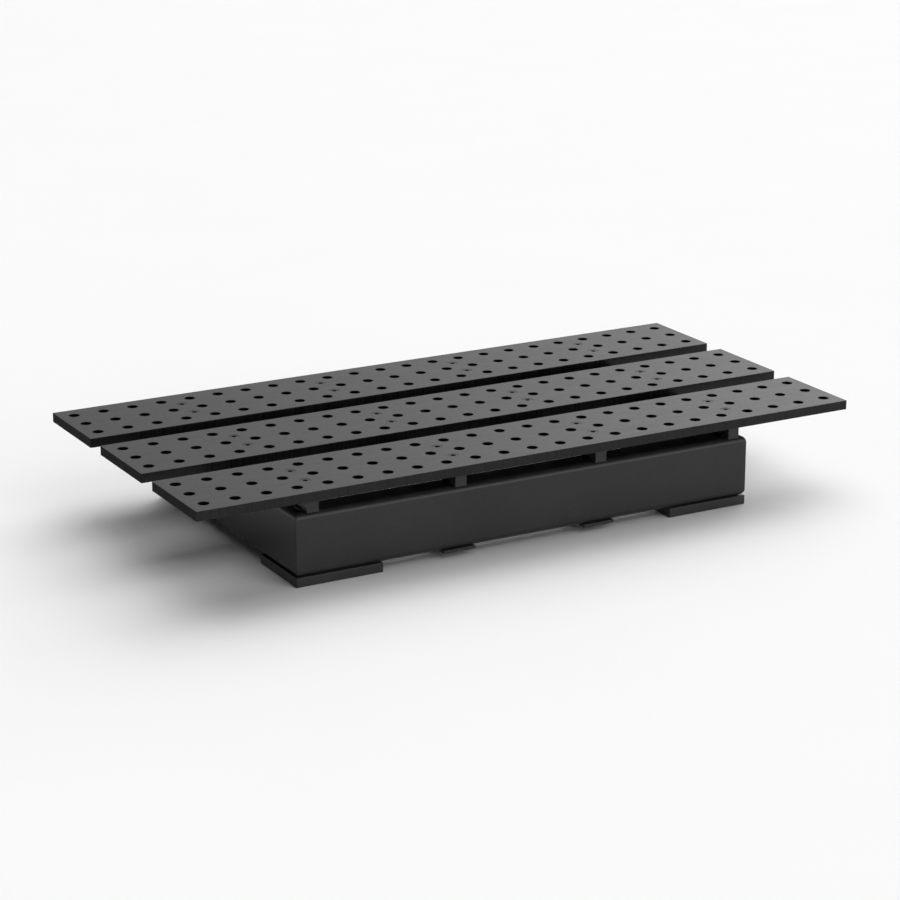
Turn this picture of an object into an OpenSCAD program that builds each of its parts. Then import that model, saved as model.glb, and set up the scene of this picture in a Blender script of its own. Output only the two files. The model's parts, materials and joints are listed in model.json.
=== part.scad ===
// Slatted welding table top on a mitred box frame, with mounting plates under its corners.
// Millimetres. X runs along the slats, -Y is the front, +Z is up.
// The origin is under the middle of the table, level with the bottoms of the corner plates.

/* [Slats] */
// Length of each slat
slat_length = 1150; // [950:100:1550]
// Width of each slat
slat_width = 160; // [140:5:180]
// Thickness of each slat
slat_thickness = 15; // [12:1:20]
// Distance between the centre lines of neighbouring slats
slat_spacing = 200; // [200:10:250]
// Distance between neighbouring fixture holes
hole_pitch = 50; // [48:1:52]
// Diameter of the fixture holes
hole_d = 16; // [12:1:20]

/* [Frame] */
// Length of the frame over its outer faces
frame_length = 805; // [790:5:900]
// Depth of the frame over its outer faces
frame_depth = 495; // [475:10:555]
// Height of the rectangular tube
tube_height = 100; // [80:5:120]
// Width of the rectangular tube, seen from above
tube_width = 50; // [50:1:60]
// Wall thickness of the rectangular tube
tube_wall = 5; // [3:0.5:6]

/* [Crossbars] */
// Length of each crossbar, which stands a little proud of the frame at both ends
bar_length = 500; // [480:10:560]
// Width of each crossbar
bar_width = 20; // [18:1:25]
// Height of each crossbar
bar_height = 28; // [25:1:40]
// Distance from the table's middle to the inner crossbars
bar_inner_x = 125; // [120:1:130]
// Distance from the table's middle to the outer crossbars
bar_outer_x = 375; // [370:1:380]

/* [Corner plates] */
// Length of each corner plate, along X
plate_length = 145; // [130:5:160]
// Depth of each corner plate, along Y
plate_depth = 125; // [120:5:140]
// Thickness of each corner plate
plate_thickness = 15; // [10:1:20]
// Diameter of the bolt holes in the corner plates
plate_hole_d = 13.5; // [11:0.5:14]

/* [Lugs] */
// Width of each lug, along X
lug_width = 55; // [50:5:80]
// Depth of each lug, along Y
lug_depth = 100; // [90:5:110]
// Thickness of each lug
lug_thickness = 5; // [4:1:8]
// Diameter of the bolt hole in each lug
lug_hole_d = 13.5; // [11:0.5:14]

/* [Countersunk screws] */
// Thread diameter
screw_d = 8; // [6:1:8]
// Head diameter
screw_head_d = 15.5; // [14:0.5:16]
// Length from the top of the head to the tip
screw_length = 30; // [25:1:35]
// Width across the flats of the hexagon socket
socket_width = 6; // [4:0.5:6]

/* [Hidden] */
$fn = 48;
overshoot = 1;

// Levels of the stack, from the floor up
frame_bottom = plate_thickness;
frame_top = frame_bottom + tube_height;
slat_bottom = frame_top + bar_height;
slat_top = slat_bottom + slat_thickness;

// Fixture holes: three rows on each slat, and an odd number of columns about its middle
row_offsets = [-hole_pitch, 0, hole_pitch];
half_columns = floor((slat_length / 2 - hole_d) / hole_pitch);

// Screws: two in each slat over each crossbar, half a pitch from the slat's centre line
screw_offset = hole_pitch / 2;
bar_xs = [-bar_outer_x, -bar_inner_x, bar_inner_x, bar_outer_x];
slat_ys = [-slat_spacing, 0, slat_spacing];
screw_clearance_d = screw_d + 1;
head_recess = 0.2;
head_land = 0.3;
seat_clearance = 0.05;
countersink_d = screw_head_d + 2 * (head_recess + head_land + seat_clearance);
thread_clearance = 0.2;
tapped_depth = screw_length - slat_thickness + 5;
socket_depth = 3;
tip_chamfer = 1;

// Rectangular tube: the outer corners are rounded to twice the wall, the inner ones to the wall
tube_outer_r = 2 * tube_wall;
tube_inner_r = tube_wall;
half_length = frame_length / 2;
half_depth = frame_depth / 2;
inner_half_length = half_length - tube_width;
inner_half_depth = half_depth - tube_width;

// Plates and lugs
plate_corner_r = 1;
plate_hole_spacing = 50;
plate_hole_x = half_length - plate_length + 47.5;
plate_hole_y = half_depth - plate_depth + 37.5;
lug_hole_y = half_depth - tube_width - 22.5;

// Welds
corner_weld_leg = 5;
bar_weld_leg = 4;
bar_weld_length = 24;
bar_stitch_length = 40;
bar_stitch_ys = [-120, 0, 120];
groove_weld_toe = 5;
groove_weld_height = 6;
groove_weld_depth = 6;
weld_end_gap = 6;

// Colours
slat_color = [0.24, 0.24, 0.25];
frame_color = [0.17, 0.17, 0.18];
screw_color = [0.20, 0.20, 0.21];
weld_color = [0.14, 0.14, 0.15];

// A rectangle about the origin with rounded corners
module rounded_rectangle(width, height, r) {
    square([width - 2 * r, height], center = true);
    square([width, height - 2 * r], center = true);
    for (x = [-1, 1], y = [-1, 1])
        translate([x * (width / 2 - r), y * (height / 2 - r)]) circle(r);
}

// The tube's cross-section, standing on its narrow side
module tube_section() {
    difference() {
        rounded_rectangle(tube_width, tube_height, tube_outer_r);
        rounded_rectangle(tube_width - 2 * tube_wall, tube_height - 2 * tube_wall, tube_inner_r);
    }
}

// A tube along X behind the line y = 0, cut at 45 degrees at both ends so that its long side is outside
module mitred_tube(length) {
    inward = tube_width + overshoot;
    intersection() {
        translate([-length / 2, tube_width / 2, tube_height / 2])
            rotate([90, 0, 90]) linear_extrude(length) tube_section();
        translate([0, 0, -overshoot]) linear_extrude(tube_height + 2 * overshoot)
            polygon([
                [-length / 2 - overshoot, -overshoot], [length / 2 + overshoot, -overshoot],
                [length / 2 - inward, inward], [-length / 2 + inward, inward]
            ]);
    }
}

// The frame's long rails: the front one, or the rear one turned half round
module long_rail(turn) {
    rotate([0, 0, turn]) translate([0, -half_depth, frame_bottom]) mitred_tube(frame_length);
}

// The frame's short rails: the right one, or the left one turned half round
module short_rail(turn) {
    rotate([0, 0, turn + 90]) translate([0, -half_length, frame_bottom]) mitred_tube(frame_depth);
}

// One slat with its fixture holes and the countersunk holes for its own screws
module slat(y) {
    translate([0, y, slat_bottom]) difference() {
        translate([-slat_length / 2, -slat_width / 2, 0])
            cube([slat_length, slat_width, slat_thickness]);
        for (column = [-half_columns : half_columns], row = row_offsets)
            translate([column * hole_pitch, row, -overshoot])
                cylinder(d = hole_d, h = slat_thickness + 2 * overshoot);
        for (x = bar_xs, side = [-1, 1]) translate([x, side * screw_offset, 0]) {
            translate([0, 0, -overshoot])
                cylinder(d = screw_clearance_d, h = slat_thickness + 2 * overshoot);
            cone_height = (countersink_d - screw_clearance_d) / 2 + overshoot;
            translate([0, 0, slat_thickness + overshoot - cone_height])
                cylinder(d1 = screw_clearance_d, d2 = countersink_d + 2 * overshoot, h = cone_height);
        }
    }
}

// One countersunk screw with a hexagon socket; the top of its head is at z = 0
module countersunk_screw() {
    cone_height = (screw_head_d - screw_d) / 2;
    difference() {
        union() {
            translate([0, 0, -head_land]) cylinder(d = screw_head_d, h = head_land);
            translate([0, 0, -head_land - cone_height])
                cylinder(d1 = screw_d, d2 = screw_head_d, h = cone_height);
            translate([0, 0, -screw_length + tip_chamfer])
                cylinder(d = screw_d, h = screw_length - tip_chamfer - head_land - cone_height);
            translate([0, 0, -screw_length])
                cylinder(d1 = screw_d - 2 * tip_chamfer, d2 = screw_d, h = tip_chamfer);
        }
        translate([0, 0, -socket_depth]) rotate([0, 0, 30])
            cylinder(d = socket_width / cos(30), h = socket_depth + overshoot, $fn = 6);
    }
}

// The eight screws that hold one slat
module slat_screws(y) {
    for (x = bar_xs, side = [-1, 1])
        translate([x, y + side * screw_offset, slat_top - head_recess]) countersunk_screw();
}

// One crossbar with its blind tapped holes
module crossbar(x) {
    translate([x, 0, frame_top]) difference() {
        translate([-bar_width / 2, -bar_length / 2, 0]) cube([bar_width, bar_length, bar_height]);
        for (y = slat_ys, side = [-1, 1])
            translate([0, y + side * screw_offset, bar_height - tapped_depth])
                cylinder(d = screw_d + thread_clearance, h = tapped_depth + overshoot);
    }
}

// One corner plate: side_x is -1 on the left and 1 on the right, side_y is -1 in front and 1 behind
module corner_plate(side_x, side_y) {
    centre_x = half_length - plate_length / 2;
    centre_y = half_depth - plate_depth / 2;
    difference() {
        translate([side_x * centre_x, side_y * centre_y, 0])
            linear_extrude(plate_thickness)
                rounded_rectangle(plate_length, plate_depth, plate_corner_r);
        for (x = [plate_hole_x - plate_hole_spacing / 2, plate_hole_x + plate_hole_spacing / 2])
            translate([side_x * x, side_y * plate_hole_y, -overshoot])
                cylinder(d = plate_hole_d, h = plate_thickness + 2 * overshoot);
    }
}

// One lug under a long rail, in line with an inner crossbar
module lug(side_x, side_y) {
    translate([side_x * bar_inner_x, 0, frame_bottom - lug_thickness]) difference() {
        translate([0, side_y * (half_depth - lug_depth / 2), 0])
            linear_extrude(lug_thickness) rounded_rectangle(lug_width, lug_depth, plate_corner_r);
        translate([0, side_y * lug_hole_y, -overshoot])
            cylinder(d = lug_hole_d, h = lug_thickness + 2 * overshoot);
    }
}

// A straight fillet weld along Y, in the corner between the planes x = 0 and z = 0
module fillet(leg, length) {
    translate([0, length / 2, 0]) rotate([90, 0, 0])
        linear_extrude(length) polygon([[0, 0], [leg, 0], [0, leg]]);
}

// A weld along Y that fills the groove under a tube's rounded edge. The tube's face is at x = 0
module groove_weld(length) {
    translate([0, length / 2, 0]) rotate([90, 0, 0]) linear_extrude(length) difference() {
        polygon([
            [groove_weld_toe, 0], [0, groove_weld_height],
            [-groove_weld_depth, groove_weld_height], [-groove_weld_depth, 0]
        ]);
        translate([-tube_outer_r, tube_outer_r]) circle(tube_outer_r);
    }
}

// Vertical welds in the frame's four inner corners
module inner_corner_fillets() {
    for (x = [0, 1], y = [0, 1]) mirror([x, 0, 0]) mirror([0, y, 0])
        translate([inner_half_length, inner_half_depth, frame_bottom + tube_outer_r])
            linear_extrude(tube_height - 2 * tube_outer_r)
                polygon([[0, 0], [-corner_weld_leg, 0], [0, -corner_weld_leg]]);
}

// Welds on both sides of one crossbar, at the given places along it
module bar_fillets(x, ys, length) {
    for (y = ys, side = [0, 1]) translate([x, y, frame_top]) mirror([side, 0, 0])
        translate([bar_width / 2, 0, 0]) fillet(bar_weld_leg, length);
}

// Welds of every crossbar to the long rails, and of the outer crossbars to the short rails
module all_bar_fillets() {
    rail_middle = half_depth - tube_width / 2;
    for (x = bar_xs) bar_fillets(x, [-rail_middle, rail_middle], bar_weld_length);
    for (x = [-bar_outer_x, bar_outer_x]) bar_fillets(x, bar_stitch_ys, bar_stitch_length);
}

// Welds between the four corner plates and the rails' inner faces
module plate_groove_welds() {
    run_x = plate_length - tube_width - 2 * weld_end_gap;
    run_y = plate_depth - tube_width - 2 * weld_end_gap;
    for (x = [0, 1], y = [0, 1]) mirror([x, 0, 0]) mirror([0, y, 0]) {
        translate([-inner_half_length, -inner_half_depth + weld_end_gap + run_y / 2, frame_bottom])
            groove_weld(run_y);
        translate([-inner_half_length + weld_end_gap + run_x / 2, -inner_half_depth, frame_bottom])
            rotate([0, 0, 90]) groove_weld(run_x);
    }
}

// Welds between the four lugs and the long rails' inner faces
module lug_groove_welds() {
    for (x = [0, 1], y = [0, 1]) mirror([x, 0, 0]) mirror([0, y, 0])
        translate([-bar_inner_x, -inner_half_depth, frame_bottom])
            rotate([0, 0, 90]) groove_weld(lug_width - 2 * weld_end_gap);
}

module slat_front() { color(slat_color) slat(-slat_spacing); }
module slat_middle() { color(slat_color) slat(0); }
module slat_rear() { color(slat_color) slat(slat_spacing); }

module slat_screws_front() { color(screw_color) slat_screws(-slat_spacing); }
module slat_screws_middle() { color(screw_color) slat_screws(0); }
module slat_screws_rear() { color(screw_color) slat_screws(slat_spacing); }

module crossbar_left_outer() { color(frame_color) crossbar(-bar_outer_x); }
module crossbar_left_inner() { color(frame_color) crossbar(-bar_inner_x); }
module crossbar_right_inner() { color(frame_color) crossbar(bar_inner_x); }
module crossbar_right_outer() { color(frame_color) crossbar(bar_outer_x); }

module frame_rail_front() { color(frame_color) long_rail(0); }
module frame_rail_rear() { color(frame_color) long_rail(180); }
module frame_rail_left() { color(frame_color) short_rail(180); }
module frame_rail_right() { color(frame_color) short_rail(0); }

module corner_plate_front_left() { color(frame_color) corner_plate(-1, -1); }
module corner_plate_front_right() { color(frame_color) corner_plate(1, -1); }
module corner_plate_rear_left() { color(frame_color) corner_plate(-1, 1); }
module corner_plate_rear_right() { color(frame_color) corner_plate(1, 1); }

module lug_front_left() { color(frame_color) lug(-1, -1); }
module lug_front_right() { color(frame_color) lug(1, -1); }
module lug_rear_left() { color(frame_color) lug(-1, 1); }
module lug_rear_right() { color(frame_color) lug(1, 1); }

module frame_corner_welds() { color(weld_color) inner_corner_fillets(); }
module crossbar_welds() { color(weld_color) all_bar_fillets(); }
module corner_plate_welds() { color(weld_color) plate_groove_welds(); }
module lug_welds() { color(weld_color) lug_groove_welds(); }

slat_front();
slat_middle();
slat_rear();
slat_screws_front();
slat_screws_middle();
slat_screws_rear();
crossbar_left_outer();
crossbar_left_inner();
crossbar_right_inner();
crossbar_right_outer();
frame_rail_front();
frame_rail_rear();
frame_rail_left();
frame_rail_right();
corner_plate_front_left();
corner_plate_front_right();
corner_plate_rear_left();
corner_plate_rear_right();
lug_front_left();
lug_front_right();
lug_rear_left();
lug_rear_right();
frame_corner_welds();
crossbar_welds();
corner_plate_welds();
lug_welds();
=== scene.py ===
"""Looks of the slatted welding table top: detailed meshes, finishes, floor, lights and camera.

Metres, in the CAD model's own frame: +X runs along the slats, -Y is the front, +Z is up.
"""

import json
import math
import random

import bmesh
import bpy
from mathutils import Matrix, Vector


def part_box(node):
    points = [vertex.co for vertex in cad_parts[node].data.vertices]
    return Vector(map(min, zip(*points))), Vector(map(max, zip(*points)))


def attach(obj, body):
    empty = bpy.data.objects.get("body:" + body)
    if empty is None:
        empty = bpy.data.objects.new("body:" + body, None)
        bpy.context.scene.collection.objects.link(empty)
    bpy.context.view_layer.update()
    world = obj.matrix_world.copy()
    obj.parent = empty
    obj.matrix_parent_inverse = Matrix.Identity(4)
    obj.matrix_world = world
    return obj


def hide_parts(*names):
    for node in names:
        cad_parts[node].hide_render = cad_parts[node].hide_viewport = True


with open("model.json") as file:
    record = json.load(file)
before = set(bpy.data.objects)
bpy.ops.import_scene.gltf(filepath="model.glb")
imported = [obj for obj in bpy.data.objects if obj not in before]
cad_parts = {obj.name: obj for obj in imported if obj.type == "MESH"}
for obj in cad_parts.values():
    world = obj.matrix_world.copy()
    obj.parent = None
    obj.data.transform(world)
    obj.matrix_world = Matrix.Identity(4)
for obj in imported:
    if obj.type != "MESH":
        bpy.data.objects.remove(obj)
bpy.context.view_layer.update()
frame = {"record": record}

MM = 0.001
BODY = "root"
mounts = {mount["name"]: mount for mount in frame["record"]["mounts"]}


def mount_size(name, key):
    """A dimension of one of the record's mounts, in metres."""
    return mounts[name]["dims"][key] * MM


def centre_of(node):
    """The middle of a CAD node's box."""
    low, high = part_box(node)
    return (low + high) / 2


def size_of(node):
    """The size of a CAD node's box."""
    low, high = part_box(node)
    return high - low


# ---------------------------------------------------------------- sizes and places

ROWS = ["front", "middle", "rear"]
DEPTHS = {"front": -1, "rear": 1}
SIDES = {"left": -1, "right": 1}
BARS = ["left_outer", "left_inner", "right_inner", "right_outer"]

# Slats
HOLE_PITCH = mount_size("fixture_holes_middle_pair", "spacing_x_mm")
HOLE_RADIUS = mount_size("fixture_holes_middle_pair", "hole_r_mm")
HOLE_EDGE = 0.8 * MM
SLAT_EDGE = 0.6 * MM
SLAT_CORNER = 1.2 * MM
COUNTERSINK_RADIUS = 8.3 * MM
CLEARANCE_RADIUS = 4.5 * MM
END_FACING = 0.5  # the least that a normal points along X on a slat's sawn end

# Countersunk screws
SCREW_OFFSET = HOLE_PITCH / 2
HEAD_RADIUS = (size_of("slat_screws_front").y - HOLE_PITCH) / 2
HEAD_LAND = 0.3 * MM
HEAD_EDGE = 0.12 * MM
THREAD_RADIUS = 4.0 * MM
HEAD_CONE = HEAD_RADIUS - THREAD_RADIUS
THREAD_PITCH = 1.25 * MM
THREAD_DEPTH = 0.6 * MM
THREAD_RINGS = 4  # to each turn of the thread
TIP_CHAMFER = 1.0 * MM
SOCKET_WIDTH = 6.0 * MM
SOCKET_DEPTH = 3.0 * MM
SOCKET_EDGE = 0.5 * MM
SOCKET_MOUTH = 4.2 * MM
SOCKET_POINT = 0.5 * MM  # how much deeper the socket is in its middle
SCREW_STEPS = 48  # round a screw

# Crossbars
BAR_EDGE = 0.6 * MM
BAR_CORNER = 1.5 * BAR_EDGE
TAPPED_RADIUS = 4.1 * MM
TAPPED_DEPTH = 20.0 * MM
TAPPED_EDGE = 0.5 * MM

# Frame
TUBE_WALL = 5.0 * MM
TUBE_RADIUS = 10.0 * MM
MITRE_EDGE = 1.2 * MM
MITRE_STEPS = 4
BOLT_RADIUS = mount_size("base_bolts_inner", "hole_r_mm")
BOLT_CELL = 25.0 * MM  # how far a bolt hole's cell reaches from its middle
PLATE_CORNER = 1.0 * MM
PLATE_EDGE = 0.9 * MM
LUG_EDGE = 0.6 * MM

# Weld beads. A margin or gap is how far a bead stops short of something.
CORNER_LEG = 5.0 * MM
BAR_LEG = 4.0 * MM
BAR_WELD_LENGTH = 24.0 * MM
STITCH_LENGTH = 40.0 * MM
STITCH_PITCH = 120.0 * MM
GROOVE_TOE = 5.0 * MM
GROOVE_DEPTH = 6.0 * MM
GROOVE_HEIGHT = 6.0 * MM
GROOVE_GAP = 6.0 * MM
GROOVE_MARGIN = 6.0 * MM
LUG_WELD_MARGIN = 6.0 * MM

# The surface of a weld bead. Shares are of the bead's width.
BEAD_POINTS = 9  # across
BEAD_LEAST_RINGS = 8
BULGE_SHARE = 0.22
RIPPLE_PITCH = 2.4 * MM
RIPPLE_RINGS = 5
RIPPLE_SHARE = 0.05
RIPPLE_SINK = 0.4  # the part of a ripple's height that is below the bead's arch
RIPPLE_LAG = 0.55  # how many ripples the bead's middle trails its toes by
WANDER_SHARE = 0.02
WANDER_LENGTH = 7 * MM
WANDER_SHIFT = 6
TAPER_LENGTH = 3 * MM
TAPER_BULGES = 1.2  # what a bead's tapered end adds to that, in bulges
TAPER_LEAST = 0.06  # the square of the part of its full size that is left at its end


# ---------------------------------------------------------------- mesh tools

EDGE_LAYER = "worked_edge"
SAME_PLACE = 1e-8
MERGE_DISTANCE = 0.002 * MM
SHARP_ANGLE = math.radians(40)
FACE_AREA_WEIGHT = 100

# A piece's materials, in their order: faces, cut edges, bores and sawn ends
FACE, CUT, BORE, END = 0, 1, 2, 3


def new_bmesh():
    """An empty bmesh with a face layer that marks rounded and chamfered edges."""
    bm = bmesh.new()
    bm.faces.layers.float.new(EDGE_LAYER)
    return bm


def add_face(bm, verts, worked=0.0, finish=FACE):
    """A face through these vertices, leaving out any that coincide."""
    apart = [v for k, v in enumerate(verts) if (v.co - verts[k - 1].co).length > SAME_PLACE]
    if len(apart) > 2:
        face = bm.faces.new(apart)
        face[bm.faces.layers.float[EDGE_LAYER]] = worked
        face.material_index = finish


def add_loop(bm, points):
    """Vertices at these points."""
    return [bm.verts.new(point) for point in points]


def bridge(bm, first, second, worked=0.0, keep=None, finish=FACE):
    """Quads between two closed loops with as many vertices. keep says which steps get one."""
    count = len(first)
    for k in range(count):
        after = (k + 1) % count
        if keep is None or keep[k]:
            add_face(bm, [first[k], second[k], second[after], first[after]], worked, finish)


def arc(centre, radius, start, sweep, steps):
    """Points on an arc in plan, with both of its ends."""
    angles = [start + sweep * k / steps for k in range(steps + 1)]
    return [
        Vector((centre.x + radius * math.cos(a), centre.y + radius * math.sin(a))) for a in angles
    ]


def rounded_levels(high, low, radius, steps=3):
    """(z, inset) pairs down a plate's side, from its top to its bottom, with rounded edges."""
    turns = [math.pi / 2 * k / steps for k in range(steps + 1)]
    curve = [(radius * (1 - math.cos(a)), radius * (1 - math.sin(a))) for a in turns]
    top = [(high - drop, inset) for drop, inset in curve]
    bottom = [(low + drop, inset) for drop, inset in reversed(curve)]
    return top + bottom


def bored_levels(high, low, radius):
    """(z, radius) pairs down a round hole, from its top to its bottom, with rounded rims."""
    return [(z, radius + inset) for z, inset in rounded_levels(high, low, HOLE_EDGE, steps=2)]


def make_piece(name, bm, materials, nodes):
    """Turns a bmesh into a piece that rides on the table and stands for these CAD nodes.

    materials are for the faces, cut edges, bores and sawn ends. The last one given is also for
    those that it leaves out.
    """
    for face in bm.faces:
        face.material_index = min(face.material_index, len(materials) - 1)
    bmesh.ops.remove_doubles(bm, verts=bm.verts, dist=MERGE_DISTANCE)
    bmesh.ops.recalc_face_normals(bm, faces=bm.faces)
    mesh = bpy.data.meshes.new(name)
    bm.to_mesh(mesh)
    bm.free()
    for material in materials:
        mesh.materials.append(material)
    mesh.shade_smooth()
    mesh.set_sharp_from_angle(angle=SHARP_ANGLE)
    piece = bpy.data.objects.new(name, mesh)
    bpy.context.scene.collection.objects.link(piece)
    shading = piece.modifiers.new("flat_faces_shade_flat", "WEIGHTED_NORMAL")
    shading.weight = FACE_AREA_WEIGHT
    shading.keep_sharp = True
    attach(piece, BODY)
    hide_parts(*nodes)


class Lattice:
    """A flat plate, divided in plan into rectangular cells, some with a round hole.

    xs and ys are the cells' borders. holes gives the centre of each hole by its cell. cuts are
    the corners, shared by four cells, that a round hole is centred on. The plate's own corners
    are rounded.
    """

    SIDE_STEPS = 12
    CUT_STEPS = 12
    CORNER_STEPS = 4

    def __init__(self, xs, ys, corner, holes, cuts=()):
        self.xs = xs
        self.ys = ys
        self.corner = corner
        self.holes = holes
        self.cuts = set(cuts)

    def outline(self, cell, inset, cut_radius):
        """The border of a cell, and for each step along it whether it is outer, cut or inner."""
        i, j = cell
        last_i, last_j = len(self.xs) - 1, len(self.ys) - 1
        grid = [(i, j), (i + 1, j), (i + 1, j + 1), (i, j + 1)]
        ways = [Vector((1, 0)), Vector((0, 1)), Vector((-1, 0)), Vector((0, -1))]
        outer = [j == 0, i + 1 == last_i, j + 1 == last_j, i == 0]
        corners = [
            Vector((self.xs[a] + inset * ((a == 0) - (a == last_i)),
                    self.ys[b] + inset * ((b == 0) - (b == last_j))))
            for a, b in grid
        ]
        rounding = self.corner - inset
        quarter = math.pi / 2

        def gap(k):
            if grid[k] in self.cuts:
                return cut_radius
            return rounding if outer[k - 1] and outer[k] else 0.0

        points, kinds = [], []
        for k in range(4):
            way, next_k = ways[k], (k + 1) % 4
            heading = math.atan2(way.y, way.x)
            if grid[k] in self.cuts:
                turn = arc(corners[k], cut_radius, heading + quarter, -quarter, self.CUT_STEPS)
                kind = "cut"
            elif outer[k - 1] and outer[k]:
                centre = corners[k] + rounding * (way - ways[k - 1])
                turn = arc(centre, rounding, heading - math.pi, quarter, self.CORNER_STEPS)
                kind = "outer"
            else:
                turn, kind = [corners[k]], None
            end = corners[next_k] - gap(next_k) * way
            side = [turn[-1].lerp(end, self.share(step)) for step in range(1, self.SIDE_STEPS)]
            points += turn + side
            kinds += [kind] * (len(turn) - 1)
            kinds += ["outer" if outer[k] else "inner"] * self.SIDE_STEPS
        return points, kinds

    def share(self, step):
        """How far along a cell's side a step is, so that the steps look equal from its middle."""
        return (1 + math.tan(math.pi / 4 * (2 * step / self.SIDE_STEPS - 1))) / 2

    def build(self, bm, edge_levels, hole_levels, cut_levels=((0, 0), (0, 0)), blind=False):
        """Adds the plate to a bmesh. Levels are (z, inset) or (z, radius) pairs, top first."""
        top_cut, bottom_cut = cut_levels[0][1], cut_levels[-1][1]
        for i in range(len(self.xs) - 1):
            for j in range(len(self.ys) - 1):

                def loop(z, inset, cut_radius, cell=(i, j)):
                    points = self.outline(cell, inset, cut_radius)[0]
                    return add_loop(bm, [(p.x, p.y, z) for p in points])

                top = loop(*edge_levels[0], top_cut)
                bottom = loop(*edge_levels[-1], bottom_cut)
                if (i, j) in self.holes:
                    add_hole(bm, self.holes[i, j], hole_levels, top, bottom, blind)
                else:
                    add_face(bm, top)
                    add_face(bm, bottom)
                kinds = self.outline((i, j), 0.0, top_cut)[1]
                walls = [(loop(z, inset, top_cut), inset) for z, inset in edge_levels]
                add_walls(bm, kinds, "outer", walls, CUT)
                walls = [(loop(z, edge_levels[0][1], r), r) for z, r in cut_levels]
                add_walls(bm, kinds, "cut", walls, BORE)


def add_hole(bm, centre, levels, top, bottom, blind):
    """The round hole in a cell, joined to the cell's border at the top and at the bottom."""
    x, y = centre
    angles = [math.atan2(v.co.y - y, v.co.x - x) for v in top]
    rims = [
        add_loop(bm, [(x + r * math.cos(a), y + r * math.sin(a), z) for a in angles])
        for z, r in levels
    ]
    bridge(bm, top, rims[0])
    for k in range(len(rims) - 1):
        worked = float(levels[k][1] != levels[k + 1][1])
        bridge(bm, rims[k], rims[k + 1], worked, finish=BORE)
    if blind:
        add_face(bm, rims[-1], finish=BORE)
        add_face(bm, bottom)
    else:
        bridge(bm, rims[-1], bottom)


def add_walls(bm, kinds, wanted, loops, finish):
    """Walls down the steps of one kind, and nothing left over from the rest of the loops."""
    keep = [kind == wanted for kind in kinds]
    for (upper, upper_size), (lower, lower_size) in zip(loops, loops[1:]):
        bridge(bm, upper, lower, float(upper_size != lower_size), keep, finish)
    loose = [v for loop, _ in loops for v in loop if not v.link_faces]
    bmesh.ops.delete(bm, geom=loose, context="VERTS")


# ---------------------------------------------------------------- slats, screws and crossbars

def screw_places(row):
    """Where the screws of one slat stand in plan."""
    y = centre_of(f"slat_{row}").y
    xs = [centre_of(f"crossbar_{bar}").x for bar in BARS]
    return [(x, y + side * SCREW_OFFSET) for x in xs for side in (-1, 1)]


def make_slat(row, materials):
    """One perforated slat: a grid of fixture holes and eight countersunk screw holes."""
    low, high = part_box(f"slat_{row}")
    middle_y = (low.y + high.y) / 2
    columns = round((high.x - low.x) / HOLE_PITCH)
    xs = [low.x + HOLE_PITCH * k for k in range(columns + 1)]
    ys = [low.y, middle_y - HOLE_PITCH / 2, middle_y + HOLE_PITCH / 2, high.y]
    holes = {
        (i, j): (xs[i] + HOLE_PITCH / 2, middle_y + HOLE_PITCH * (j - 1))
        for i in range(columns) for j in range(3)
    }
    cuts = [
        (round((x - low.x) / HOLE_PITCH), 1 if y < middle_y else 2) for x, y in screw_places(row)
    ]
    edges = rounded_levels(high.z, low.z, SLAT_EDGE)
    rims = bored_levels(high.z, low.z, HOLE_RADIUS)
    countersink = [
        (high.z, COUNTERSINK_RADIUS),
        (high.z - COUNTERSINK_RADIUS + CLEARANCE_RADIUS, CLEARANCE_RADIUS),
        (low.z + HOLE_EDGE, CLEARANCE_RADIUS),
        (low.z, CLEARANCE_RADIUS + HOLE_EDGE),
    ]
    bm = new_bmesh()
    Lattice(xs, ys, SLAT_CORNER, holes, cuts).build(bm, edges, rims, countersink)
    bm.normal_update()
    for face in bm.faces:
        if face.material_index == CUT and abs(face.normal.x) > END_FACING:
            face.material_index = END
    make_piece(f"perforated_slat_{row}", bm, materials, [f"slat_{row}"])


def hexagon_radius(angle, width):
    """How far a hexagon's side is from its middle, in this direction. width is across its flats."""
    from_flat = (angle + math.pi / 6) % (math.pi / 3) - math.pi / 6
    return width / 2 / math.cos(from_flat)


def thread_radius(angle, z):
    """The radius of a right-hand thread in this direction and at this height."""
    phase = (z / THREAD_PITCH - angle / (2 * math.pi)) % 1
    return THREAD_RADIUS - THREAD_DEPTH * abs(2 * phase - 1)


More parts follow.
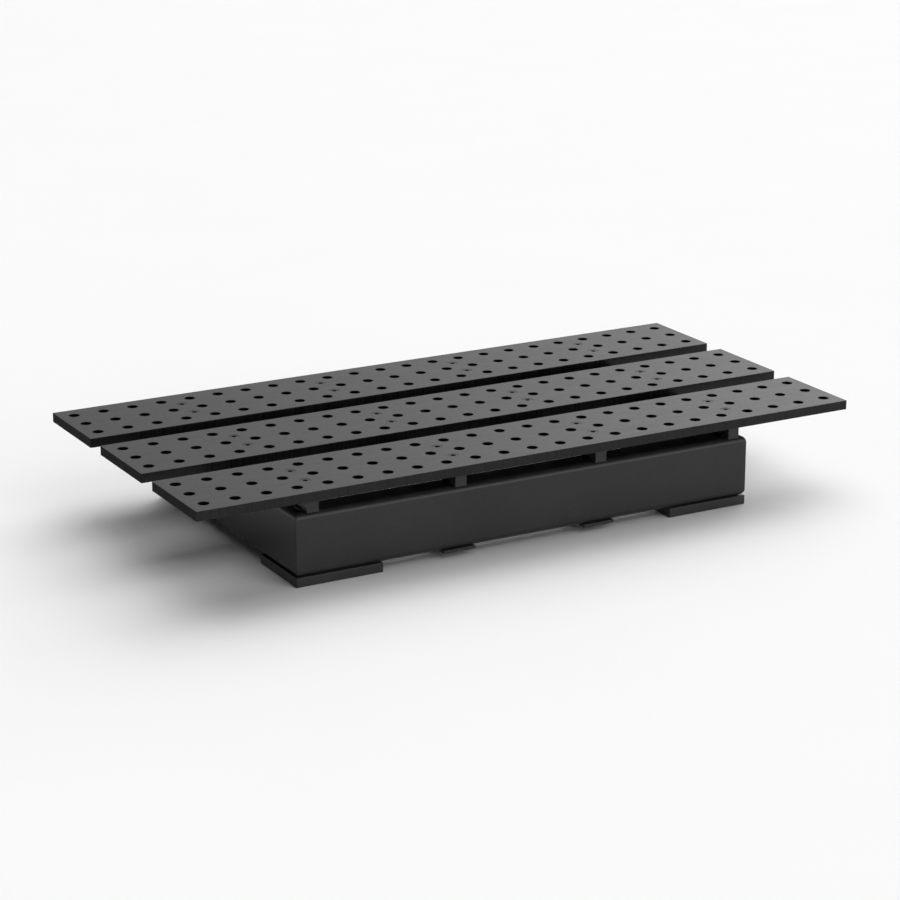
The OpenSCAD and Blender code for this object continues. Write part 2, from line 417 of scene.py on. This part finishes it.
def add_screw(bm, place, top, bottom, turn):
    """One countersunk screw with a hexagon socket and a thread, turned round by turn."""
    x, y = place
    angles = [2 * math.pi / SCREW_STEPS * k + turn for k in range(SCREW_STEPS)]

    def ring(z, radius_of):
        return add_loop(bm, [
            (x + radius_of(a) * math.cos(a), y + radius_of(a) * math.sin(a), z) for a in angles
        ])

    def circle(z, radius):
        return ring(z, lambda _: radius)

    def hexagon(z, width):
        return ring(z, lambda a: hexagon_radius(a - turn, width))

    neck = top - HEAD_LAND - HEAD_CONE
    inside = [
        hexagon(top - SOCKET_DEPTH, SOCKET_WIDTH),
        hexagon(top - SOCKET_EDGE, SOCKET_WIDTH),
        circle(top, SOCKET_MOUTH),
    ]
    head = [
        circle(top, HEAD_RADIUS - HEAD_EDGE),
        circle(top - HEAD_EDGE, HEAD_RADIUS),
        circle(top - HEAD_LAND, HEAD_RADIUS),
        circle(neck, THREAD_RADIUS),
        circle(neck - THREAD_PITCH, THREAD_RADIUS),
    ]
    thread_top = neck - THREAD_PITCH
    thread_bottom = bottom + TIP_CHAMFER
    rings = round(THREAD_RINGS * (thread_top - thread_bottom) / THREAD_PITCH)
    heights = [thread_top + (thread_bottom - thread_top) * k / rings for k in range(1, rings)]
    thread = [ring(z, lambda a, z=z: thread_radius(a - turn, z)) for z in heights]
    tip = [
        circle(thread_bottom, THREAD_RADIUS - THREAD_DEPTH),
        circle(bottom, THREAD_RADIUS - TIP_CHAMFER),
    ]
    loops = inside + head + thread + tip
    for k in range(len(loops) - 1):
        bridge(bm, loops[k], loops[k + 1], finish=CUT if k < len(inside) - 1 else FACE)
    for loop, depth, finish in ((loops[0], SOCKET_POINT, CUT), (loops[-1], 0.0, FACE)):
        middle = bm.verts.new((x, y, loop[0].co.z - depth))
        for k in range(SCREW_STEPS):
            add_face(bm, [middle, loop[k - 1], loop[k]], finish=finish)


def make_screws(row, materials):
    """The eight screws that hold one slat, each stopped at its own angle."""
    low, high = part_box(f"slat_screws_{row}")
    draw = random.Random(f"screws {row}")
    bm = new_bmesh()
    for place in screw_places(row):
        add_screw(bm, place, high.z, low.z, draw.uniform(0, math.pi / 3))
    make_piece(f"socket_screws_{row}", bm, materials, [f"slat_screws_{row}"])


def make_crossbar(bar, material):
    """One crossbar: a flat bar on edge with six tapped holes in its top."""
    low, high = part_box(f"crossbar_{bar}")
    middle_x, half = (low.x + high.x) / 2, (high.x - low.x) / 2
    hole_ys = sorted({y for row in ROWS for _, y in screw_places(row)})
    ys = sorted([low.y, high.y] + [y + side * half for y in hole_ys for side in (-1, 1)])
    holes = {(0, 2 * k + 1): (middle_x, y) for k, y in enumerate(hole_ys)}
    edges = rounded_levels(high.z, low.z, BAR_EDGE)
    rims = [
        (high.z, TAPPED_RADIUS + TAPPED_EDGE),
        (high.z - TAPPED_EDGE, TAPPED_RADIUS),
        (high.z - TAPPED_DEPTH, TAPPED_RADIUS),
    ]
    bm = new_bmesh()
    Lattice([low.x, high.x], ys, BAR_CORNER, holes).build(bm, edges, rims, blind=True)
    make_piece(f"tapped_bar_{bar}", bm, [material], [f"crossbar_{bar}"])


# ---------------------------------------------------------------- frame

def tube_profile(width, height, inset, radius, steps=5):
    """(inward, up) points round a rounded rectangle, this far inside a tube's outside."""
    near, far = inset + radius, width - inset - radius
    bottom, top = inset + radius, height - inset - radius
    corners = [(far, bottom, -90), (far, top, 0), (near, top, 90), (near, bottom, 180)]
    points = []
    for inward, up, start in corners:
        angles = [math.radians(start + 90 * k / steps) for k in range(steps + 1)]
        points += [(inward + radius * math.cos(a), up + radius * math.sin(a)) for a in angles]
    return points


def mitre_station(profile, half_length, turn, edge):
    """(along, inward, up) points at one end of a tube.

    edge is the rounding of the mitre's outer edge, and turn is how far round it these are, up
    to 45°.
    """
    station = []
    for inward, up in profile:
        fade = max(0.0, 1 - inward / TUBE_RADIUS)
        rounding = edge * fade * fade
        along = half_length - inward - rounding * (1 - math.sin(turn))
        station.append((along, inward + rounding * (1 - math.cos(turn)), up))
    return station


def make_rail(name, material):
    """One side of the frame: rectangular tube, mitred at both of its ends."""
    low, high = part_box(f"frame_rail_{name}")
    middle = (low + high) / 2
    along_x = name in DEPTHS
    along = Vector((1, 0, 0)) if along_x else Vector((0, 1, 0))
    outward = Vector((0, DEPTHS[name], 0)) if along_x else Vector((SIDES[name], 0, 0))
    size = high - low
    half_length = (size.x if along_x else size.y) / 2
    width = size.y if along_x else size.x
    origin = Vector((middle.x, middle.y, low.z)) + outward * width / 2
    outer = tube_profile(width, size.z, 0.0, TUBE_RADIUS)
    inner = tube_profile(width, size.z, TUBE_WALL, TUBE_RADIUS - TUBE_WALL)
    bm = new_bmesh()

    def station(profile, turn, edge, end):
        points = mitre_station(profile, half_length, turn, edge)
        return add_loop(bm, [
            origin + along * (x * end) - outward * y + Vector((0, 0, z)) for x, y, z in points
        ])

    turns = [math.pi / 4 * k / MITRE_STEPS for k in range(MITRE_STEPS + 1)]
    skin = [station(outer, turn, MITRE_EDGE, -1) for turn in reversed(turns)]
    skin += [station(outer, turn, MITRE_EDGE, 1) for turn in turns]
    bore = [station(inner, 0.0, 0.0, end) for end in (-1, 1)]
    for first, second in zip(skin, skin[1:]):
        bridge(bm, first, second)
    bridge(bm, bore[0], bore[1])
    bridge(bm, skin[0], bore[0])
    bridge(bm, skin[-1], bore[1])
    make_piece(f"mitred_tube_{name}", bm, [material], [f"frame_rail_{name}"])


def make_bolt_plate(name, node, xs, ys, holes, edge, material):
    """A flat plate with bolt holes: its corners, edges and rims are rounded."""
    low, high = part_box(node)
    edges = rounded_levels(high.z, low.z, edge)
    rims = bored_levels(high.z, low.z, BOLT_RADIUS)
    bm = new_bmesh()
    Lattice(xs, ys, PLATE_CORNER, holes).build(bm, edges, rims)
    make_piece(name, bm, [material], [node])


def make_corner_plate(depth, side, material):
    """One plate that the frame stands on, with two holes for the base's bolts."""
    node = f"corner_plate_{depth}_{side}"
    low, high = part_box(node)
    hole_xs = [
        SIDES[side] * mount_size(bolts, "spacing_x_mm") / 2
        for bolts in ("base_bolts_inner", "base_bolts_outer")
    ]
    hole_y = DEPTHS[depth] * mount_size("base_bolts_inner", "spacing_y_mm") / 2
    borders = [sum(hole_xs) / 2, hole_xs[1] + SIDES[side] * BOLT_CELL]
    xs = sorted([low.x, high.x] + borders)
    ys = sorted([low.y, high.y, hole_y + DEPTHS[depth] * BOLT_CELL])
    row = 0 if depth == "rear" else 1
    holes = {(sum(border < x for border in xs) - 1, row): (x, hole_y) for x in hole_xs}
    make_bolt_plate(f"bolt_plate_{depth}_{side}", node, xs, ys, holes, PLATE_EDGE, material)


def make_lug(depth, side, material):
    """One thin lug under the frame, with a bolt hole inside the frame."""
    node = f"lug_{depth}_{side}"
    low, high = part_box(node)
    hole_y = DEPTHS[depth] * mount_size("lug_bolts", "spacing_y_mm") / 2
    xs = [low.x, high.x]
    ys = sorted([low.y, high.y, hole_y + DEPTHS[depth] * BOLT_CELL])
    holes = {(0, 0 if depth == "rear" else 1): ((low.x + high.x) / 2, hole_y)}
    make_bolt_plate(f"bolt_lug_{depth}_{side}", node, xs, ys, holes, LUG_EDGE, material)


# ---------------------------------------------------------------- weld beads

def add_bead(bm, start, end, first_toe, second_toe, draw):
    """A rippled weld bead from start to end along a root line. Toes are offsets from the root."""
    length = (end - start).length
    along = (end - start).normalized()
    chord = second_toe - first_toe
    middle = (first_toe + second_toe) / 2
    out = (middle - along * middle.dot(along)).normalized()
    bulge = BULGE_SHARE * chord.length
    rings = max(BEAD_LEAST_RINGS, round(length / (RIPPLE_PITCH / RIPPLE_RINGS)))
    shift = draw.uniform(0, 1)
    loops = []
    for k in range(rings + 1):
        distance = length * k / rings
        to_end = min(distance, length - distance) / (TAPER_BULGES * bulge + TAPER_LENGTH)
        swell = math.sqrt(max(TAPER_LEAST, 1 - max(0.0, 1 - to_end) ** 2))
        swing = math.sin(distance / WANDER_LENGTH + WANDER_SHIFT * shift)
        root = start + along * distance
        loop = [bm.verts.new(root)]
        for step in range(BEAD_POINTS):
            share = step / (BEAD_POINTS - 1)
            arch = 4 * share * (1 - share)
            phase = (distance / RIPPLE_PITCH + RIPPLE_LAG * arch + shift) % 1
            ripple = RIPPLE_SHARE * chord.length * arch * (phase ** 2 - RIPPLE_SINK)
            wander = WANDER_SHARE * chord.length * swing * (1 - arch)
            offset = first_toe + chord * share + out * (bulge * arch + ripple + wander)
            loop.append(bm.verts.new(root + offset * swell))
        loops.append(loop)
    for first, second in zip(loops, loops[1:]):
        bridge(bm, first, second)
    add_face(bm, loops[0])
    add_face(bm, loops[-1])


def make_corner_welds(material):
    """Upright beads in the frame's four inner corners."""
    front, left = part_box("frame_rail_front"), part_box("frame_rail_left")
    inner_x, inner_y = -left[1].x, -front[1].y
    bottom, top = front[0].z + TUBE_RADIUS, front[1].z - TUBE_RADIUS
    draw = random.Random("corner welds")
    bm = new_bmesh()
    for x in SIDES.values():
        for y in DEPTHS.values():
            root = Vector((x * inner_x, y * inner_y, 0))
            toes = Vector((-x * CORNER_LEG, 0, 0)), Vector((0, -y * CORNER_LEG, 0))
            foot, head = root + Vector((0, 0, bottom)), root + Vector((0, 0, top))
            add_bead(bm, foot, head, *toes, draw)
    make_piece("corner_weld_beads", bm, [material], ["frame_corner_welds"])


def make_bar_welds(material):
    """Beads on each crossbar's foot where it crosses the frame, and stitches on the outer bars."""
    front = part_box("frame_rail_front")
    crossing = abs(front[0].y + front[1].y) / 2
    ends = [(depth * crossing, BAR_WELD_LENGTH) for depth in DEPTHS.values()]
    stitches = [(k * STITCH_PITCH, STITCH_LENGTH) for k in (-1, 0, 1)]
    draw = random.Random("bar welds")
    bm = new_bmesh()
    for bar in BARS:
        low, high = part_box(f"crossbar_{bar}")
        beads = ends + (stitches if "outer" in bar else [])
        for x, side in ((low.x, -1), (high.x, 1)):
            toes = Vector((side * BAR_LEG, 0, 0)), Vector((0, 0, BAR_LEG))
            for y, length in beads:
                start = Vector((x, y - length / 2, low.z))
                end = Vector((x, y + length / 2, low.z))
                add_bead(bm, start, end, *toes, draw)
    make_piece("crossbar_weld_beads", bm, [material], ["crossbar_welds"])


def add_groove_bead(bm, face, z, inward, start, end, draw):
    """A bead in the groove under a tube's lower edge. face is a point on its inner face."""
    root = face - inward * GROOVE_DEPTH + Vector((0, 0, z))
    under = TUBE_RADIUS - math.sqrt(TUBE_RADIUS ** 2 - (TUBE_RADIUS - GROOVE_HEIGHT) ** 2)
    first_toe = inward * (GROOVE_DEPTH + GROOVE_TOE)
    second_toe = inward * (GROOVE_DEPTH - under) + Vector((0, 0, GROOVE_HEIGHT))
    add_bead(bm, root + start, root + end, first_toe, second_toe, draw)


def make_plate_welds(material):
    """Two beads on each corner plate, along the frame's inner faces."""
    front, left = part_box("frame_rail_front"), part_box("frame_rail_left")
    inner_x, inner_y = -left[1].x, -front[1].y
    draw = random.Random("plate welds")
    bm = new_bmesh()
    for side, x in SIDES.items():
        for depth, y in DEPTHS.items():
            low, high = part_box(f"corner_plate_{depth}_{side}")
            start_x = min(abs(low.x), abs(high.x)) + GROOVE_GAP
            start_y = min(abs(low.y), abs(high.y)) + GROOVE_GAP
            along_y = [Vector((0, y * v, 0)) for v in (start_y, inner_y - GROOVE_MARGIN)]
            along_x = [Vector((x * v, 0, 0)) for v in (start_x, inner_x - GROOVE_MARGIN)]
            side_face, side_way = Vector((x * inner_x, 0, 0)), Vector((-x, 0, 0))
            end_face, end_way = Vector((0, y * inner_y, 0)), Vector((0, -y, 0))
            add_groove_bead(bm, side_face, high.z, side_way, *along_y, draw)
            add_groove_bead(bm, end_face, high.z, end_way, *along_x, draw)
    make_piece("corner_plate_weld_beads", bm, [material], ["corner_plate_welds"])


def make_lug_welds(material):
    """One bead on each lug, along the frame's inner face."""
    inner_y = -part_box("frame_rail_front")[1].y
    draw = random.Random("lug welds")
    bm = new_bmesh()
    for side in SIDES:
        for depth, y in DEPTHS.items():
            low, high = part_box(f"lug_{depth}_{side}")
            ends = [
                Vector((v, 0, 0)) for v in (low.x + LUG_WELD_MARGIN, high.x - LUG_WELD_MARGIN)
            ]
            face, inward = Vector((0, y * inner_y, 0)), Vector((0, -y, 0))
            add_groove_bead(bm, face, high.z, inward, *ends, draw)
    make_piece("lug_weld_beads", bm, [material], ["lug_welds"])


# ---------------------------------------------------------------- finishes

# The darkest and the lightest linear colour in each finish
SLAT_TONES = (0.0105, 0.0105, 0.0108), (0.0155, 0.0155, 0.0158)
MACHINED_TONES = (0.0, 0.0, 0.0), (0.0068, 0.0068, 0.007)
# The near-black bore tones are painted shade: hole walls, countersinks and screw sockets darkened
# to look shaded inside
BORE_PAINTED_SHADE_TONES = (0.001, 0.001, 0.001), (0.003, 0.003, 0.003)
SAWN_TONES = (0.007, 0.007, 0.007), (0.02, 0.02, 0.0204)
SCREW_TONES = (0.007, 0.007, 0.0073), (0.014, 0.014, 0.0145)
FRAME_TONES = (0.015, 0.015, 0.0154), (0.026, 0.026, 0.0265)
# Plates and lugs take a lighter copy of the frame's paint: painted light that offsets the floor
# shade they sit in
PLATE_PAINTED_LIGHT_TONES = (0.024, 0.024, 0.0244), (0.036, 0.036, 0.0365)
# The weld beads take a darker copy of the frame's paint: painted shade, so they read as shaded
# wherever they are
BEAD_PAINTED_SHADE_TONES = (0.008, 0.008, 0.0083), (0.014, 0.014, 0.0145)
FLOOR_TONES = (0.87, 0.87, 0.87), (0.89, 0.89, 0.89)

# What an edge wears towards
WORN_STEEL = (0.03, 0.03, 0.031)
WORN_PAINT = (0.045, 0.045, 0.046)

# How strongly each finish mirrors
SLAT_LEVEL = 0.18
MACHINED_LEVEL = 0.23
DRILLED_LEVEL = 0.06
SAWN_LEVEL = 0.12
SCREW_LEVEL = 0.2
PAINT_LEVEL = 0.28
BEAD_LEVEL = 0.18
FLOOR_LEVEL = 0.2

# The middle of a cut face's range of roughness, and how far it goes to each side
MACHINED_ROUGHNESS = 0.3
DRILLED_ROUGHNESS = 0.8
SAWN_ROUGHNESS = 0.83
CUT_ROUGHNESS_RANGE = 0.04

# The size of the bumps in the paint: on tubes, bars and plates, and on weld beads
PAINT_PEEL = 1.6 * MM
BEAD_PEEL = 0.9 * MM


def add_node(material, kind, inputs=None, **settings):
    """A shader node with its settings and the values or links of its inputs."""
    tree = material.node_tree
    node = tree.nodes.new(kind)
    for name, value in settings.items():
        setattr(node, name, value)
    for name, value in (inputs or {}).items():
        if isinstance(value, bpy.types.NodeSocket):
            tree.links.new(value, node.inputs[name])
        else:
            node.inputs[name].default_value = value
    return node


def noise(material, stretch, detail, roughness=0.55):
    """Noise from 0 to 1 in the table's own space. stretch is features to a metre, by axis."""
    place = add_node(material, "ShaderNodeTexCoord").outputs["Object"]
    mapping = add_node(material, "ShaderNodeMapping", {"Vector": place, "Scale": stretch})
    settings = {
        "Vector": mapping.outputs["Vector"],
        "Scale": 1.0,
        "Detail": detail,
        "Roughness": roughness,
    }
    return add_node(material, "ShaderNodeTexNoise", settings).outputs["Fac"]


def remap(material, value, from_low, from_high, to_low, to_high):
    """A value moved from one range to another, and held inside it."""
    inputs = {
        "Value": value,
        "From Min": from_low,
        "From Max": from_high,
        "To Min": to_low,
        "To Max": to_high,
    }
    return add_node(material, "ShaderNodeMapRange", inputs).outputs["Result"]


def spread(material, value, share, low=0.3, high=0.7):
    """The part of a noise's range where most of it lies, moved to 0 up to this share."""
    return remap(material, value, low, high, 0.0, share)


def maths(material, operation, first, second):
    """One sum, product or other operation on two values."""
    node = add_node(material, "ShaderNodeMath", {0: first, 1: second}, operation=operation)
    return node.outputs[0]


def total(material, first, *others):
    """The sum of several values."""
    for other in others:
        first = maths(material, "ADD", first, other)
    return first


def mix_colour(material, share, first, second):
    """A blend of two colours."""
    node = add_node(material, "ShaderNodeMix", data_type="RGBA")
    material.node_tree.links.new(share, node.inputs["Factor"])
    for name, value in (("A", first), ("B", second)):
        socket = next(s for s in node.inputs if s.name == name and s.type == "RGBA")
        if isinstance(value, bpy.types.NodeSocket):
            material.node_tree.links.new(value, socket)
        else:
            socket.default_value = (*value, 1.0)
    return next(s for s in node.outputs if s.type == "RGBA")


def bump(material, height, distance, strength):
    """A bumped normal. distance is how high the highest point stands, in metres."""
    inputs = {"Height": height, "Distance": distance, "Strength": strength}
    return add_node(material, "ShaderNodeBump", inputs).outputs["Normal"]


def new_material(name, ior_level):
    """An empty material and its main shader."""
    material = bpy.data.materials.new(name)
    material.use_nodes = True
    shader = material.node_tree.nodes["Principled BSDF"]
    shader.inputs["Specular IOR Level"].default_value = ior_level
    return material, shader


def link(material, source, shader, name):
    """Joins a node's output to one of the shader's inputs."""
    material.node_tree.links.new(source, shader.inputs[name])


def worked_edges(material):
    """Where an edge is rounded or chamfered: 1 there and 0 elsewhere."""
    return add_node(material, "ShaderNodeAttribute", attribute_name=EDGE_LAYER).outputs["Fac"]


def plate_finish():
    """Blackened steel plate with a fine rolled grain along the slats."""
    material, shader = new_material("blackened_plate_steel", SLAT_LEVEL)
    grain = noise(material, (250, 900, 900), detail=5)
    streaks = noise(material, (7, 160, 160), detail=4, roughness=0.6)
    clouds = noise(material, (9, 11, 11), detail=4)
    mottle = noise(material, (200, 260, 260), detail=2)
    tone = total(
        material,
        spread(material, clouds, 0.5),
        spread(material, streaks, 0.2),
        spread(material, mottle, 0.3),
    )
    link(material, mix_colour(material, tone, *SLAT_TONES), shader, "Base Color")
    rough = total(material, grain, streaks, mottle)
    link(material, remap(material, rough, 1.1, 1.9, 0.36, 0.46), shader, "Roughness")
    link(material, bump(material, grain, 0.012 * MM, 0.6), shader, "Normal")
    return material


def cut_finish(name, ior_level, tones, roughness):
    """Blackened faces of a cut edge, or a drilled hole's walls in near-black tones that are painted
    shade, with upright lines left by the cut.
    """
    material, shader = new_material(name, ior_level)
    fine = noise(material, (900, 900, 12), detail=2)
    coarse = noise(material, (290, 290, 5), detail=1)
    clouds = noise(material, (9, 11, 11), detail=4)
    lines = total(material, spread(material, fine, 0.3), spread(material, coarse, 0.7))
    wear = spread(material, clouds, 0.05, 0.35, 0.65)
    worn = maths(material, "MULTIPLY", worked_edges(material), wear)
    cut = mix_colour(material, lines, *tones)
    link(material, mix_colour(material, worn, cut, WORN_STEEL), shader, "Base Color")
    smoothest, roughest = roughness - CUT_ROUGHNESS_RANGE, roughness + CUT_ROUGHNESS_RANGE
    link(material, remap(material, lines, 0.1, 0.9, smoothest, roughest), shader, "Roughness")
    link(material, bump(material, lines, 0.05 * MM, 0.8), shader, "Normal")
    return material


def paint_finish(name, ior_level, tones, peel_size):
    """Satin black powder coat with a fine orange peel."""
    material, shader = new_material(name, ior_level)
    per_metre = 1 / peel_size
    peel = noise(material, (per_metre, per_metre, per_metre), detail=2, roughness=0.4)
    dust = noise(material, (2600, 2600, 2600), detail=2)
    mottle = noise(material, (210, 210, 210), detail=3)
    clouds = noise(material, (14, 14, 14), detail=4)
    tone = total(
        material,
        spread(material, clouds, 0.4),
        spread(material, dust, 0.2, low=0.4),
        spread(material, mottle, 0.4),
    )
    wear = remap(material, clouds, 0.3, 0.7, 0.1, 0.3)
    worn = maths(material, "MULTIPLY", worked_edges(material), wear)
    faces = mix_colour(material, tone, *tones)
    link(material, mix_colour(material, worn, faces, WORN_PAINT), shader, "Base Color")
    rough = total(material, clouds, mottle)
    link(material, remap(material, rough, 0.7, 1.3, 0.30, 0.38), shader, "Roughness")
    link(material, bump(material, peel, 0.03 * MM, 0.7), shader, "Normal")
    return material


def screw_finish():
    """Black oxide on the heads and threads of the screws."""
    material, shader = new_material("black_oxide_screw_steel", SCREW_LEVEL)
    turned = noise(material, (1800, 1800, 1800), detail=3)
    clouds = noise(material, (120, 120, 120), detail=2)
    link(material, mix_colour(material, clouds, *SCREW_TONES), shader, "Base Color")
    link(material, remap(material, turned, 0.3, 0.7, 0.38, 0.5), shader, "Roughness")
    link(material, bump(material, turned, 0.01 * MM, 0.5), shader, "Normal")
    return material


# ---------------------------------------------------------------- floor, lights and camera

FLOOR_HALF = 40.0
FLOOR_ROUGHNESS = 0.9

# The surround: its strength at the horizon and overhead, what that is multiplied by on the left,
# right, front and back, and where along Z, X and Y it changes from the one to the other
HORIZON, ZENITH = 1.06, 0.3
LEFT_SHARE, RIGHT_SHARE = 0.12, 1.5
FRONT_SHARE, BACK_SHARE = 0.7, 1.0
RISE_RANGE = (0.0, 0.5)
ACROSS_RANGE = (-0.2, 0.6)
ALONG_RANGE = (-0.5, 0.3)

# Softboxes: name, azimuth, elevation and width in degrees, and strength
SOFTBOXES = [
    ("back_right_softbox", 58, 30, 50, 1.2),
    ("front_softbox", 165, 30, 60, 0.9),
    ("low_front_softbox", 152, 5, 24, 0.3),
    ("back_softbox", 30, 55, 60, 0.9),
    ("overhead_softbox", 0, 80, 60, 0.95),
]

# The camera: its place, how far it looks down and to the right of +Y in degrees, and its lens
CAMERA_PLACE = (-2.0493, -3.67135, 1.4145)
CAMERA_DOWN = 17.55
CAMERA_RIGHT = 29.11
CAMERA_LENS = 109.16
SENSOR_WIDTH = 36.0


def make_floor():
    """A wide pale floor under the corner plates."""
    material, shader = new_material("pale_floor", FLOOR_LEVEL)
    mottle = noise(material, (3, 3, 3), detail=3)
    link(material, mix_colour(material, mottle, *FLOOR_TONES), shader, "Base Color")
    shader.inputs["Roughness"].default_value = FLOOR_ROUGHNESS
    half = FLOOR_HALF
    corners = [(-half, -half, 0), (half, -half, 0), (half, half, 0), (-half, half, 0)]
    mesh = bpy.data.meshes.new("floor")
    mesh.from_pydata(corners, [], [(0, 1, 2, 3)])
    mesh.materials.append(material)
    floor = bpy.data.objects.new("floor", mesh)
    bpy.context.scene.collection.objects.link(floor)


def add_softbox(name, azimuth, elevation, width, strength):
    """A far soft light. Its azimuth is measured from +Y towards +X, and its width across."""
    a, e = math.radians(azimuth), math.radians(elevation)
    light = bpy.data.lights.new(name, "SUN")
    light.angle = math.radians(width)
    light.energy = strength
    lamp = bpy.data.objects.new(name, light)
    towards = Vector((math.sin(a) * math.cos(e), math.cos(a) * math.cos(e), math.sin(e)))
    lamp.rotation_euler = towards.to_track_quat("Z", "Y").to_euler()
    bpy.context.scene.collection.objects.link(lamp)


def make_world():
    """A pale surround: dimmer overhead than at the horizon, and dimmer on the left and in front."""
    world = bpy.data.worlds.new("studio")
    world.use_nodes = True
    way = add_node(world, "ShaderNodeTexCoord").outputs["Generated"]
    split = add_node(world, "ShaderNodeSeparateXYZ", {"Vector": way})
    rise = remap(world, split.outputs["Z"], *RISE_RANGE, HORIZON, ZENITH)
    across = remap(world, split.outputs["X"], *ACROSS_RANGE, LEFT_SHARE, RIGHT_SHARE)
    along = remap(world, split.outputs["Y"], *ALONG_RANGE, FRONT_SHARE, BACK_SHARE)
    strength = maths(world, "MULTIPLY", maths(world, "MULTIPLY", rise, across), along)
    background = world.node_tree.nodes["Background"]
    world.node_tree.links.new(strength, background.inputs["Strength"])
    background.inputs["Color"].default_value = (1, 1, 1, 1)
    bpy.context.scene.world = world


def make_lights():
    """Soft lights from behind, from the front and from overhead, and a pale surround."""
    make_world()
    for softbox in SOFTBOXES:
        add_softbox(*softbox)
    bpy.context.scene.view_settings.view_transform = "Standard"


def make_camera():
    """The camera, at the front left of the table and a little above it."""
    data = bpy.data.cameras.new("camera")
    data.sensor_width = SENSOR_WIDTH
    data.lens = CAMERA_LENS
    camera = bpy.data.objects.new("camera", data)
    camera.location = CAMERA_PLACE
    camera.rotation_euler = (math.radians(90 - CAMERA_DOWN), 0.0, -math.radians(CAMERA_RIGHT))
    bpy.context.scene.collection.objects.link(camera)
    bpy.context.scene.camera = camera


# ---------------------------------------------------------------- scene

def make_table():
    """Every piece of the table top."""
    slat = [
        plate_finish(),
        cut_finish("machined_edge_steel", MACHINED_LEVEL, MACHINED_TONES, MACHINED_ROUGHNESS),
        # Bore walls in near-black tones: painted shade inside the holes and countersinks
        cut_finish("bore_wall_painted_shade", DRILLED_LEVEL, BORE_PAINTED_SHADE_TONES, DRILLED_ROUGHNESS),
        cut_finish("sawn_end_steel", SAWN_LEVEL, SAWN_TONES, SAWN_ROUGHNESS),
    ]
    # The screw sockets take the bores' near-black painted shade
    screw = [screw_finish(), slat[BORE]]
    paint = paint_finish("satin_black_powder_coat", PAINT_LEVEL, FRAME_TONES, PAINT_PEEL)
    # A lighter copy of the frame's paint for the plates and lugs: painted light
    plate_paint_painted_light = paint_finish("plate_powder_coat_painted_light", PAINT_LEVEL, PLATE_PAINTED_LIGHT_TONES, PAINT_PEEL)
    # A darker copy of the frame's paint for the weld beads: painted shade
    bead = paint_finish("weld_bead_paint_painted_shade", BEAD_LEVEL, BEAD_PAINTED_SHADE_TONES, BEAD_PEEL)
    for row in ROWS:
        make_slat(row, slat)
        make_screws(row, screw)
    for bar in BARS:
        make_crossbar(bar, paint)
    for name in [*DEPTHS, *SIDES]:
        make_rail(name, paint)
    for depth in DEPTHS:
        for side in SIDES:
            make_corner_plate(depth, side, plate_paint_painted_light)
            make_lug(depth, side, plate_paint_painted_light)
    make_corner_welds(bead)
    make_bar_welds(bead)
    make_plate_welds(bead)
    make_lug_welds(bead)


make_camera()
make_table()
make_floor()
make_lights()
